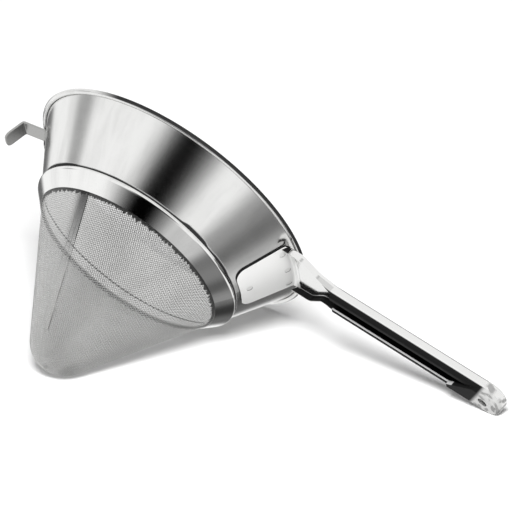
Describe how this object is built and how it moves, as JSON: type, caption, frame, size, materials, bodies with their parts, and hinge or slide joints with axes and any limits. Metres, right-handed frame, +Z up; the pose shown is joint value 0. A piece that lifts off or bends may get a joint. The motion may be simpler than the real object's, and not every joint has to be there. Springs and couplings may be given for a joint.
{
  "type": "chinois strainer",
  "caption": "Cone-shaped fine-mesh strainer with a steel body, a rolled rim, a retaining ring, a channel handle with a hanging hole and a pot hook, lying on its side.",
  "frame": {"origin": "middle of the footprint on the table, as the strainer lies on its tip, its ring and the handle's end", "axes": "+X toward the handle's end along the table, +Y toward the open mouth, +Z up from the table"},
  "size_m": [0.3744, 0.1805, 0.1719],
  "materials": {
    "satin_steel": "spun and polished stainless steel with soft circular brush lines",
    "polished_steel": "bright polished stainless steel",
    "wire_mesh": "fine woven stainless wire cloth"
  },
  "bodies": {
    "root": {"body_shell": "satin_steel", "retaining_ring": "polished_steel", "mesh_cone": "wire_mesh", "handle": "polished_steel", "pot_hook": "satin_steel", "handle_spot_welds": "satin_steel", "hook_spot_welds": "satin_steel"}
  },
  "joints": []
}
